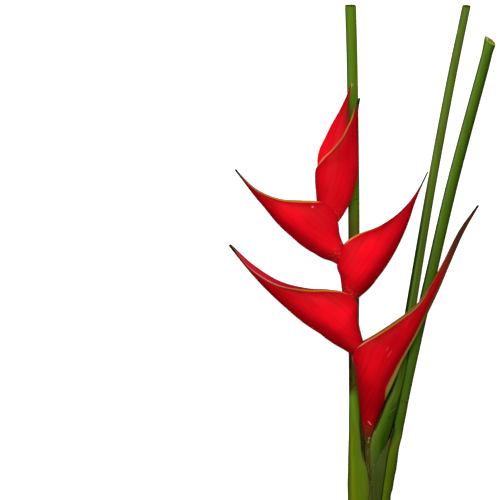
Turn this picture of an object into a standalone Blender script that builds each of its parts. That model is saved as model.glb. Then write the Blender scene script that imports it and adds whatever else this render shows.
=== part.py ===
"""Cut inflorescence with six boat-shaped bracts and three leaf stalks, lying flat. Metres, +Z up."""
import math

import bmesh
import bpy

MM = 0.001
STEM_AXIS_HEIGHT = 15.6
HEAD_AXIS_HEIGHT = 26.2
LIFT_START_Y = -150.0
LIFT_END_Y = -25.0
CUT_Y = -303.8
ORIGIN_X = 2.5
SEGMENTS_PER_CHEEK = 7
STALK_SIDES = 12
SHEATH_STEPS = 10
LONGEST_STEP = 19.0
THICKEST_WALL = 1.55
THINNEST_WALL = 0.7

# Bract stations from base to tip, in millimetres: keel x, keel y, lip x, lip y,
# half thickness, half opening between the lips, and how much lower the front lip sits.
BRACT_STATIONS = {
    1: (
        (13.6, -144.2, 1.6, -143.6, 6.0, 0.0, 0.0),
        (13.3, -129.5, 1.4, -129.0, 6.0, 0.0, 0.0),
        (20.6, -104.0, -2.2, -98.0, 8.3, 0.0, 0.0),
        (26.0, -91.0, -4.5, -79.0, 10.6, 0.0, 0.0),
        (29.4, -84.0, -7.4, -62.0, 12.6, 0.0, 0.0),
        (32.9, -75.8, -10.1, -51.6, 13.8, 6.2, 0.0),
        (35.4, -69.8, -8.0, -44.8, 14.2, 9.4, 0.0),
        (38.2, -62.2, -1.0, -38.0, 14.2, 11.2, 0.0),
        (44.2, -50.0, 11.0, -30.7, 13.2, 9.6, 0.0),
        (54.6, -28.8, 34.6, -15.0, 9.6, 6.2, 0.2),
        (65.3, -5.2, 54.5, 0.6, 6.0, 3.9, 0.6),
        (76.5, 18.0, 69.4, 21.3, 4.0, 2.9, 0.9),
        (86.6, 39.8, 81.0, 42.0, 3.1, 2.3, 0.9),
        (102.5, 74.2, 99.3, 76.0, 2.1, 1.5, 0.4),
        (117.2, 98.8, 115.7, 99.8, 1.1, 0.8, 0.0),
    ),
    2: (
        (-4.0, -64.2, 7.8, -62.0, 6.0, 0.0, 0.0),
        (-6.4, -53.0, 2.4, -40.5, 6.4, 0.0, 0.0),
        (-15.8, -46.3, 0.6, -33.5, 8.4, 0.0, 0.0),
        (-25.6, -40.1, -2.4, -21.5, 10.8, 0.0, 0.0),
        (-31.6, -35.9, -4.2, -8.5, 12.6, 0.0, 0.0),
        (-37.1, -31.9, -4.6, 1.6, 13.6, 6.0, 0.0),
        (-40.9, -28.7, -10.2, 8.4, 13.9, 9.2, 0.0),
        (-46.4, -25.2, -18.5, 13.2, 13.7, 10.8, 0.0),
        (-57.1, -18.2, -32.0, 15.8, 12.4, 8.8, 0.3),
        (-75.0, -4.3, -52.2, 16.9, 9.4, 6.4, 1.8),
        (-96.9, 16.8, -83.4, 24.4, 6.2, 4.6, 5.6),
        (-113.7, 35.5, -109.5, 40.4, 3.4, 2.6, 4.6),
        (-132.6, 59.0, -131.4, 60.4, 1.1, 0.8, 0.2),
    ),
    3: (
        (-6.9, -6.0, -18.1, -4.6, 5.65, 0.0, 0.0),
        (-6.6, 2.7, -19.2, 7.2, 6.3, 0.0, 0.0),
        (-1.2, 8.8, -20.6, 17.5, 8.2, 0.0, 0.0),
        (3.5, 14.0, -22.1, 29.0, 10.6, 0.0, 0.0),
        (8.5, 19.8, -25.0, 36.7, 12.4, 4.6, 0.0),
        (14.5, 27.8, -23.7, 47.5, 13.4, 8.4, 0.0),
        (21.5, 36.8, -17.8, 61.2, 13.6, 10.8, 0.0),
        (29.8, 49.0, -4.5, 70.8, 12.2, 8.6, 0.0),
        (38.8, 65.6, 16.2, 78.8, 8.8, 5.6, 0.0),
        (46.4, 84.2, 34.8, 90.8, 5.2, 3.6, 0.0),
        (54.1, 104.8, 50.1, 107.0, 2.8, 2.0, 0.0),
        (59.8, 118.4, 58.2, 119.6, 1.6, 1.1, 0.0),
        (66.0, 131.8, 64.7, 132.7, 1.0, 0.7, 0.0),
    ),
    4: (
        (-22.0, 36.4, -11.8, 39.0, 5.25, 0.0, 0.0),
        (-24.6, 40.2, -16.0, 54.5, 6.0, 0.0, 0.0),
        (-30.7, 43.6, -19.2, 62.5, 7.4, 0.0, 0.0),
        (-38.4, 46.8, -22.0, 70.0, 9.2, 0.0, 0.0),
        (-47.9, 53.0, -23.5, 80.4, 11.4, 6.2, 0.0),
        (-53.4, 56.5, -26.7, 91.8, 12.8, 9.0, 0.0),
        (-60.0, 61.1, -34.0, 99.6, 13.3, 11.0, 0.0),
        (-69.5, 68.9, -44.5, 103.8, 12.8, 9.6, 0.0),
        (-82.5, 80.7, -61.3, 104.7, 10.0, 6.8, 0.0),
        (-97.9, 98.6, -84.0, 106.2, 5.8, 4.0, 0.0),
        (-108.9, 111.6, -105.1, 115.1, 3.0, 2.2, 0.0),
        (-119.8, 125.7, -118.5, 127.0, 1.5, 1.1, 0.0),
        (-126.6, 134.4, -125.4, 135.4, 1.0, 0.7, 0.0),
    ),
    5: (
        (-26.3, 74.0, -36.7, 76.8, 5.2, 0.0, 0.0),
        (-24.8, 80.7, -41.0, 90.5, 6.6, 0.0, 0.0),
        (-18.1, 90.8, -44.4, 102.0, 8.6, 0.0, 0.0),
        (-11.5, 103.0, -46.2, 112.5, 10.4, 0.0, 0.0),
        (-6.4, 120.0, -47.2, 124.5, 11.8, 0.0, 0.0),
        (-3.4, 135.5, -46.3, 136.3, 12.4, 0.0, 0.0),
        (-3.1, 145.0, -41.6, 144.4, 12.2, 8.6, 0.0),
        (-3.2, 157.0, -31.4, 154.6, 11.6, 9.6, 0.0),
        (-3.6, 169.0, -21.2, 166.8, 9.6, 7.8, 0.0),
        (-3.8, 179.0, -16.1, 176.0, 7.2, 5.8, 0.0),
        (-4.0, 187.0, -12.0, 184.2, 4.8, 3.8, 0.0),
        (-3.8, 197.0, -7.5, 196.5, 2.4, 1.8, 0.0),
        (-2.0, 206.8, -3.6, 206.4, 1.0, 0.7, 0.0),
    ),
    6: (
        (-36.2, 98.0, -27.8, 98.0, 4.2, 0.0, 0.0),
        (-40.5, 115.0, -23.0, 115.0, 6.2, 0.0, 0.0),
        (-43.2, 131.0, -18.0, 132.0, 7.2, 0.0, 0.0),
        (-44.2, 142.0, -15.5, 145.0, 7.2, 0.0, 0.0),
        (-42.8, 154.0, -13.6, 159.0, 6.9, 2.6, 0.0),
        (-37.0, 167.7, -12.6, 174.0, 5.8, 3.0, 0.0),
        (-30.5, 181.0, -12.5, 188.0, 4.8, 2.8, 0.0),
        (-22.5, 195.0, -12.4, 201.0, 3.4, 2.2, 0.0),
        (-16.0, 208.5, -11.8, 210.5, 1.9, 1.3, 0.0),
        (-11.1, 220.4, -9.6, 220.1, 1.0, 0.7, 0.0),
    ),
}

# Axis of the flower stalk from the cut to the last bract: x, y, radius.
FLOWER_STALK = (
    (8.3, CUT_Y, 7.0),
    (8.3, -197.0, 7.0),
    (8.2, -181.0, 6.3),
    (7.9, -164.0, 4.9),
    (7.6, -147.0, 4.05),
    (7.4, -129.0, 4.0),
    (6.2, -97.0, 4.0),
    (1.9, -63.0, 4.0),
    (-2.5, -45.0, 3.85),
    (-9.3, -23.0, 3.8),
    (-12.5, -5.0, 3.62),
    (-13.4, 15.0, 3.6),
    (-16.9, 37.7, 3.4),
    (-23.8, 57.0, 3.3),
    (-29.7, 69.0, 3.1),
    (-31.6, 75.4, 2.95),
    (-32.7, 87.0, 2.8),
    (-32.0, 99.5, 2.38),
)

# Leaf stalk stations from the cut to the top: y, height of the axis, outer centre x, outer
# half width, outer half height, inner centre x, inner half width, inner half height,
# x of the front margin, x of the back margin, and how far the channel is filled.
LEFT_LEAF = (
    (CUT_Y, 15.6, 5.5, 19.0, 12.0, 11.5, 12.9, 10.2, 4.7, 10.9, 0.0),
    (-196.9, 15.6, 5.5, 19.0, 12.0, 11.5, 12.9, 10.2, 4.7, 10.9, 0.0),
    (-183.8, 15.6, 5.2, 18.4, 12.0, 11.5, 12.9, 10.2, 6.3, 9.9, 0.0),
    (-166.7, 15.4, 3.5, 16.3, 11.7, 10.4, 11.5, 10.1, 3.8, 7.4, 0.0),
    (-150.3, 13.6, -1.3, 11.1, 10.2, 1.5, 6.6, 7.5, 1.2, 5.4, 0.1),
    (-131.9, 11.6, -3.1, 9.2, 8.0, -1.9, 5.6, 5.4, 0.2, 4.6, 0.3),
    (-112.1, 8.6, -5.1, 6.9, 6.2, -5.3, 3.2, 3.4, -2.2, 0.8, 0.8),
    (-92.0, 6.6, -6.4, 5.3, 5.4, -6.4, 2.4, 2.6, -2.4, -1.8, 1.0),
    (-46.5, 5.2, -6.4, 5.4, 5.0, -6.4, 2.4, 2.5, -2.3, -2.3, 1.0),
    (80.4, 5.0, -6.1, 5.7, 5.0, -6.1, 2.5, 2.5, -1.8, -1.8, 1.0),
    (237.8, 4.9, -8.0, 5.7, 5.0, -8.0, 2.6, 2.5, -3.6, -3.6, 1.0),
    (303.8, 4.8, -9.7, 5.8, 5.1, -9.7, 2.6, 2.5, -5.2, -5.2, 1.0),
)
INNER_LEAF = (
    (CUT_Y, 15.6, 11.5, 12.6, 9.8, 8.3, 7.7, 7.6, -0.3, -0.4, 0.0),
    (-201.9, 15.6, 11.5, 12.6, 9.8, 8.3, 7.7, 7.6, 1.7, 0.4, 0.0),
    (-183.8, 15.6, 11.6, 12.7, 9.8, 8.3, 7.5, 7.5, 5.2, 1.4, 0.0),
    (-167.7, 15.6, 11.8, 12.8, 9.8, 8.3, 7.1, 7.2, 9.2, 6.4, 0.0),
    (-143.5, 15.8, 13.1, 13.1, 10.2, 8.9, 8.1, 8.0, 8.0, 9.0, 0.0),
    (-128.4, 15.7, 17.0, 13.1, 10.6, 13.5, 8.7, 8.6, 11.7, 9.4, 0.0),
    (-111.5, 13.6, 23.4, 11.6, 9.2, 21.9, 6.8, 6.5, 17.9, 15.6, 0.3),
    (-96.7, 9.4, 31.2, 8.0, 7.0, 31.2, 4.0, 3.6, 25.4, 24.0, 0.8),
    (-76.9, 6.2, 38.6, 5.9, 5.6, 38.6, 3.0, 2.8, 33.8, 33.6, 1.0),
    (-5.9, 5.1, 50.3, 5.4, 5.1, 50.3, 2.5, 2.5, 45.8, 45.8, 1.0),
    (115.9, 4.7, 70.9, 4.6, 4.7, 70.9, 2.1, 2.3, 67.1, 67.1, 1.0),
    (237.8, 4.6, 94.2, 4.6, 4.7, 94.2, 2.2, 2.3, 90.4, 90.4, 1.0),
    (303.8, 4.5, 107.8, 4.3, 4.7, 107.8, 2.1, 2.3, 104.2, 104.2, 1.0),
)
RIGHT_LEAF = (
    (CUT_Y, 15.6, 6.9, 22.2, 16.0, 5.5, 19.4, 12.3, 12.1, -0.7, 0.0),
    (-196.9, 15.6, 6.9, 22.2, 16.0, 5.5, 19.4, 12.3, 12.1, -0.7, 0.0),
    (-183.8, 15.6, 8.2, 23.2, 15.8, 6.1, 20.0, 12.3, 11.4, 1.9, 0.0),
    (-168.7, 15.7, 11.3, 22.9, 15.3, 8.9, 19.8, 12.3, 8.4, 7.4, 0.0),
    (-160.6, 15.8, 15.4, 20.4, 14.2, 12.9, 16.7, 12.0, 10.7, 12.4, 0.0),
    (-149.2, 15.8, 21.5, 16.1, 12.6, 19.5, 11.6, 10.9, 18.0, 18.0, 0.0),
    (-141.5, 15.7, 27.2, 11.7, 10.3, 26.5, 6.9, 8.0, 23.5, 23.6, 0.3),
    (-133.0, 15.8, 33.8, 7.2, 8.2, 34.5, 3.7, 4.6, 29.0, 28.6, 0.6),
    (-121.3, 17.0, 37.3, 5.7, 5.9, 37.3, 2.8, 3.0, 33.3, 32.4, 0.9),
    (-109.0, 18.4, 39.9, 5.5, 5.3, 39.9, 2.7, 2.8, 35.6, 35.2, 1.0),
    (-96.3, 17.8, 42.6, 5.2, 5.0, 42.6, 2.6, 2.5, 38.3, 38.2, 1.0),
    (-76.3, 14.6, 47.2, 5.1, 4.9, 47.2, 2.5, 2.4, 43.0, 43.0, 1.0),
    (-31.2, 7.6, 57.9, 5.3, 4.9, 57.9, 2.6, 2.4, 53.5, 53.5, 1.0),
    (31.7, 5.1, 72.6, 5.5, 5.0, 72.6, 2.7, 2.5, 68.0, 68.0, 1.0),
    (115.9, 5.0, 91.5, 5.7, 5.0, 91.5, 2.8, 2.5, 86.8, 86.8, 1.0),
    (237.8, 4.9, 123.8, 6.0, 5.1, 123.8, 2.9, 2.5, 118.8, 118.8, 1.0),
    (267.0, 4.8, 131.8, 5.7, 5.1, 131.8, 2.8, 2.5, 127.1, 127.1, 1.0),
)
RIGHT_LEAF_CUT_SLANT = (-0.8, -0.3)
LOWEST_BASE_POINT = 12.0
PRESSED_FLAT = 1.4

RED = (0.58, 0.006, 0.012, 1.0)
GREEN = (0.10, 0.19, 0.012, 1.0)
OLIVE = (0.09, 0.10, 0.015, 1.0)


def clear_scene():
    for old in list(bpy.data.objects):
        bpy.data.objects.remove(old, do_unlink=True)


def new_material(name, colour, roughness):
    material = bpy.data.materials.new(name)
    material.use_nodes = True
    shader = material.node_tree.nodes["Principled BSDF"]
    shader.inputs["Base Color"].default_value = colour
    shader.inputs["Roughness"].default_value = roughness
    shader.inputs["Metallic"].default_value = 0.0
    return material


def in_metres(point):
    return ((point[0] - ORIGIN_X) * MM, point[1] * MM, point[2] * MM)


def lift(y):
    """Height of the flower's axis at y: low in the stem, higher where the stalks pass under the bracts."""
    along = (y - LIFT_START_Y) / (LIFT_END_Y - LIFT_START_Y)
    along = min(max(along, 0.0), 1.0)
    eased = along * along * (3.0 - 2.0 * along)
    return STEM_AXIS_HEIGHT + (HEAD_AXIS_HEIGHT - STEM_AXIS_HEIGHT) * eased


def cheek(angle, sharpness):
    """Half thickness of a bract at an angle round from its keel, before scaling."""
    return math.sin(angle) * math.sin(angle / 2.0) ** sharpness


def fullest_angle(sharpness):
    return math.acos(-sharpness / (2.0 + sharpness))


def lip_angle(opening, sharpness):
    """Angle at which the cheek has come in to the given share of its full half thickness."""
    full = cheek(fullest_angle(sharpness), sharpness)
    low = fullest_angle(sharpness)
    high = math.pi
    for _ in range(40):
        middle = 0.5 * (low + high)
        if cheek(middle, sharpness) / full > opening:
            low = middle
        else:
            high = middle
    return 0.5 * (low + high)


def refined(rows):
    """The stations with one more between any two that lie far apart, on a smooth curve through them."""
    out = [rows[0]]
    for i in range(1, len(rows)):
        before = rows[max(i - 2, 0)]
        start = rows[i - 1]
        end = rows[i]
        after = rows[min(i + 1, len(rows) - 1)]
        span = math.dist(start[0:2], end[0:2])
        span = max(span, math.dist(start[2:4], end[2:4]))
        if span > LONGEST_STEP and start[5] > 0.0:
            middle = []
            for k in range(7):
                value = 0.5625 * (start[k] + end[k]) - 0.0625 * (before[k] + after[k])
                if k > 3:
                    value = 0.5 * (start[k] + end[k])
                middle.append(value)
            out.append(tuple(middle))
        out.append(end)
    return out


def bract_section(row, share, point):
    """Points of one section, from the back lip round the keel to the front lip.

    The point is how far the middle of each cheek reaches below the two edges."""
    keel_x, keel_y, lip_x, lip_y, half, opening, drop = row
    sharpness = 0.55 * share
    full = cheek(fullest_angle(sharpness), sharpness)
    end = lip_angle(opening / half, sharpness)
    if opening == 0.0:
        end = math.pi
    width = math.dist((keel_x, keel_y), (lip_x, lip_y))
    points = []
    for j in range(-SEGMENTS_PER_CHEEK, SEGMENTS_PER_CHEEK + 1):
        angle = end * abs(j) / SEGMENTS_PER_CHEEK
        across = (1.0 - math.cos(angle)) / (1.0 - math.cos(end))
        if j > 0:
            across *= 1.0 - min(drop / width, 1.0)
        x = keel_x + (lip_x - keel_x) * across
        y = keel_y + (lip_y - keel_y) * across
        z = math.copysign(half * cheek(angle, sharpness) / full, j)
        y += point * (2.0 * across - 1.0) ** 2
        points.append((x, y, z + lift(y)))
    return points


def make_bract(number, collection):
    rows = refined(BRACT_STATIONS[number])
    last = len(rows) - 1
    side = 1.0
    if rows[5][0] > rows[5][2]:
        side = -1.0
    mesh = bpy.data.meshes.new("bract_%d" % number)
    bm = bmesh.new()
    weight = bm.verts.layers.deform.verify()
    grid = []
    for i, row in enumerate(rows):
        line = []
        closed = row[5] == 0.0
        point = LOWEST_BASE_POINT if number == 1 and i == 0 else 0.0
        points = bract_section(row, min(1.0, 1.6 * i / last), point)
        taper = min(1.0, (last - i) / (0.45 * last))
        for j, spot in enumerate(points):
            if closed and j == len(points) - 1:
                line.append(line[0])
                continue
            vert = bm.verts.new(in_metres(spot))
            edge = abs(j - SEGMENTS_PER_CHEEK) / SEGMENTS_PER_CHEEK
            thin = 1.0 - (0.0 if closed else 0.3 * edge ** 3)
            wall = THINNEST_WALL + (THICKEST_WALL - THINNEST_WALL) * taper * thin
            vert[weight][0] = wall / THICKEST_WALL
            line.append(vert)
        grid.append(line)
    for i in range(last):
        for j in range(2 * SEGMENTS_PER_CHEEK):
            corners = [grid[i][j], grid[i][j + 1], grid[i + 1][j + 1], grid[i + 1][j]]
            if side < 0.0:
                corners.reverse()
            unique = []
            for corner in corners:
                if corner not in unique:
                    unique.append(corner)
            face = bm.faces.new(unique)
            face.smooth = True
    bm.to_mesh(mesh)
    bm.free()
    bract = bpy.data.objects.new("bract_%d" % number, mesh)
    bract.vertex_groups.new(name="wall")
    collection.objects.link(bract)
    solid = bract.modifiers.new("wall", "SOLIDIFY")
    solid.thickness = THICKEST_WALL * MM
    solid.offset = -1.0
    solid.vertex_group = "wall"
    mesh.materials.append(new_material("bract_red_%d" % number, RED, 0.38))
    return bract


def add_tube(bm, rings, cap_pairs):
    """Skins a row of equal rings of points and closes both ends."""
    verts = []
    for ring in rings:
        verts.append([bm.verts.new(in_metres(point)) for point in ring])
    count = len(rings[0])
    for lower, upper in zip(verts[:-1], verts[1:]):
        for k in range(count):
            after = (k + 1) % count
            face = bm.faces.new((lower[k], lower[after], upper[after], upper[k]))
            face.smooth = True
    for ring in (verts[0], verts[-1]):
        if not cap_pairs:
            bm.faces.new(ring)
            continue
        for k in range(count // 2 - 1):
            bm.faces.new((ring[k], ring[k + 1], ring[count - 2 - k], ring[count - 1 - k]))
    bmesh.ops.recalc_face_normals(bm, faces=bm.faces[:])


def finish_mesh(name, bm, material, collection):
    mesh = bpy.data.meshes.new(name)
    bm.to_mesh(mesh)
    bm.free()
    mesh.materials.append(material)
    piece = bpy.data.objects.new(name, mesh)
    collection.objects.link(piece)
    return piece


def make_flower_stalk(collection):
    rings = []
    last = len(FLOWER_STALK) - 1
    for i, (x, y, radius) in enumerate(FLOWER_STALK):
        before = FLOWER_STALK[max(i - 1, 0)]
        after = FLOWER_STALK[min(i + 1, last)]
        step_x = after[0] - before[0]
        step_y = after[1] - before[1]
        length = math.hypot(step_x, step_y)
        ring = []
        for k in range(STALK_SIDES):
            turn = 2.0 * math.pi * k / STALK_SIDES
            aside = radius * math.cos(turn)
            px = x + aside * step_y / length
            py = y - aside * step_x / length
            ring.append((px, py, lift(py) + radius * math.sin(turn)))
        rings.append(ring)
    bm = bmesh.new()
    add_tube(bm, rings, False)
    return finish_mesh("flower_stalk", bm, new_material("flower_stalk_olive", OLIVE, 0.5), collection)


def ray_to_ellipse(from_x, cos_turn, sin_turn, centre_x, half_width, half_height):
    """Distance from (from_x, 0) along a direction to an ellipse round (centre_x, 0)."""
    a = (cos_turn / half_width) ** 2 + (sin_turn / half_height) ** 2
    b = 2.0 * (from_x - centre_x) * cos_turn / half_width ** 2
    c = ((from_x - centre_x) / half_width) ** 2 - 1.0
    return (-b + math.sqrt(b * b - 4.0 * a * c)) / (2.0 * a)


def margin_turn(x, side, centre_x, half_width, half_height, inner_x):
    """Angle, from the midrib round to a margin at x, seen from the inner centre."""
    share = max(-0.999, min(0.999, (x - centre_x) / half_width))
    up = half_height * math.sqrt(1.0 - share * share)
    return math.atan2(up, side * (x - inner_x))


def leaf_ring(row, side, slant):
    y, height, cx, a, b, ix, ia, ib, front_x, back_x, fill = row
    front = margin_turn(front_x, side, cx, a, b, ix)
    back = margin_turn(back_x, side, cx, a, b, ix)
    outer = []
    inner = []
    for k in range(SHEATH_STEPS + 1):
        across = 2.0 * k / SHEATH_STEPS - 1.0
        turn = front * across if across > 0.0 else back * across
        cos_turn = side * math.cos(turn)
        sin_turn = math.sin(turn)
        far = ray_to_ellipse(ix, cos_turn, sin_turn, cx, a, b)
        near = ray_to_ellipse(ix, cos_turn, sin_turn, ix, ia, ib)
        thin = 1.0 - 0.5 * (1.0 - fill) * across ** 4
        far = near + (far - near) * thin
        outer.append((ix + far * cos_turn, far * sin_turn))
        inner.append((ix + near * cos_turn, near * sin_turn))
    first = outer[0]
    final = outer[-1]
    for k in range(SHEATH_STEPS + 1):
        share = k / SHEATH_STEPS
        dip = 0.3 * a * math.sin(math.pi * share) * side
        chord_x = first[0] + (final[0] - first[0]) * share + dip
        chord_z = first[1] + (final[1] - first[1]) * share
        blend = min(fill, 0.97)
        x, z = inner[k]
        inner[k] = (x + (chord_x - x) * blend, z + (chord_z - z) * blend)
    ring = []
    for x, z in outer + inner[::-1]:
        level = height + z
        if level < PRESSED_FLAT:
            level = 0.0
        ring.append((x, y + slant[0] * (x - cx) + slant[1] * z, level))
    return ring


def make_leaf_stalk(name, rows, side, slant, collection):
    rings = []
    for i, row in enumerate(rows):
        tilt = slant if i == len(rows) - 1 else (0.0, 0.0)
        rings.append(leaf_ring(row, side, tilt))
    bm = bmesh.new()
    add_tube(bm, rings, True)
    return finish_mesh(name, bm, new_material(name + "_green", GREEN, 0.42), collection)


def main():
    clear_scene()
    scene = bpy.context.scene
    scene.unit_settings.system = "METRIC"
    scene.unit_settings.scale_length = 1.0
    collection = bpy.data.collections.new("heliconia_flower")
    scene.collection.children.link(collection)
    make_flower_stalk(collection)
    for number in sorted(BRACT_STATIONS):
        make_bract(number, collection)
    make_leaf_stalk("leaf_stalk_left", LEFT_LEAF, -1.0, (0.0, 0.0), collection)
    make_leaf_stalk("leaf_stalk_inner", INNER_LEAF, 1.0, (0.0, 0.0), collection)
    make_leaf_stalk("leaf_stalk_right", RIGHT_LEAF, 1.0, RIGHT_LEAF_CUT_SLANT, collection)


main()
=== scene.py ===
"""Looks of the cut heliconia flower: six waxy bracts, a felted stalk and three sheathed leaf stalks."""
import bisect
import math

import bmesh
import bpy
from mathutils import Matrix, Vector


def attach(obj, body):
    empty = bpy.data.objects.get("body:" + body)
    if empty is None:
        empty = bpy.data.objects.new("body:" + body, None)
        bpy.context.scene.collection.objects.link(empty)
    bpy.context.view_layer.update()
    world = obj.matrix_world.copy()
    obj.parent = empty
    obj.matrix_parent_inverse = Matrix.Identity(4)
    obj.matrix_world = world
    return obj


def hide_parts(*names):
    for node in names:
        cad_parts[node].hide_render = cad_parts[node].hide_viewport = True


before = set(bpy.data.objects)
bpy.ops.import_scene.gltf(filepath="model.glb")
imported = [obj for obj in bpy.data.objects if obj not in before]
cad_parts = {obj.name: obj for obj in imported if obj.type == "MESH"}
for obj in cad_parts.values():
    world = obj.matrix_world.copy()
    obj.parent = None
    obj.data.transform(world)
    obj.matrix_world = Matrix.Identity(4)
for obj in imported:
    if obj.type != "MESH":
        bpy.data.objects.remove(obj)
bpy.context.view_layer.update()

# Sizes are in millimetres in the tables and become metres where a vertex is placed.
MM = 0.001
ORIGIN_X = 2.5
STEM_AXIS_HEIGHT = 15.6
HEAD_AXIS_HEIGHT = 26.2
LIFT_START_Y = -150.0
LIFT_END_Y = -25.0
CUT_Y = -303.8
SEAM_REACH = 0.002

# Forms of the bracts: the wall thins over the last share of the length and by a share towards the lip,
# the keel gets sharper along the bract, and its mouth is never wider than a share of its thickness.
THICKEST_WALL = 1.55
THINNEST_WALL = 0.7
WALL_TAPER = 0.45
LIP_THINNING = 0.3
KEEL_SHARPNESS = 0.55
SHARPENING = 1.6
WIDEST_MOUTH = 0.98
LOWEST_BASE_POINT = 12.0
ROUND_END = 1.6
THINNEST_END = 0.15

# Forms of the leaf stalks and of the cut ends.
MARGIN_THINNING = 0.5
FULLEST_CHANNEL = 0.97
CHANNEL_DEPTH = 0.3
RIND_WIDTH = 1.6
STALK_RIND = 0.5

# How finely each piece is divided.
BRACT_ROWS = 104
BRACT_TIP_ROWS = 6
BRACT_COLUMNS = 44
HALVINGS = 30
SHEATH_ROWS_PER_STATION = 11
SHEATH_COLUMNS = 34
MARGIN_COLUMNS = 4
SLANT_ROWS = 6
CAP_CUTS = 5
STALK_ROWS = 150
STALK_SIDES = 28

# Place of the cut flesh among a stalk's finishes.
FLESH = 1
# A mark's paint reaches ten metres up and down, so that it doesn't fade with height.
SCAR_HEIGHT = 10.0

# The studio: places and widths in metres; lens, sensor and the floor's drop in millimetres.
CAMERA_PLACE = (-0.1145, 0.055, 1.4151)
LENS_LENGTH = 100.0
SENSOR_WIDTH = 36.0
SOFTBOX_PLACE = (-0.25, 0.55, 1.7)
SOFTBOX_WIDTH = 1.3
SOFTBOX_POWER = 31.0
SKY_STRENGTH = 0.16
FLOOR_HALF_WIDTH = 4.0
FLOOR_DROP = 0.3
FLOOR_GLOW = 0.85

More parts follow.
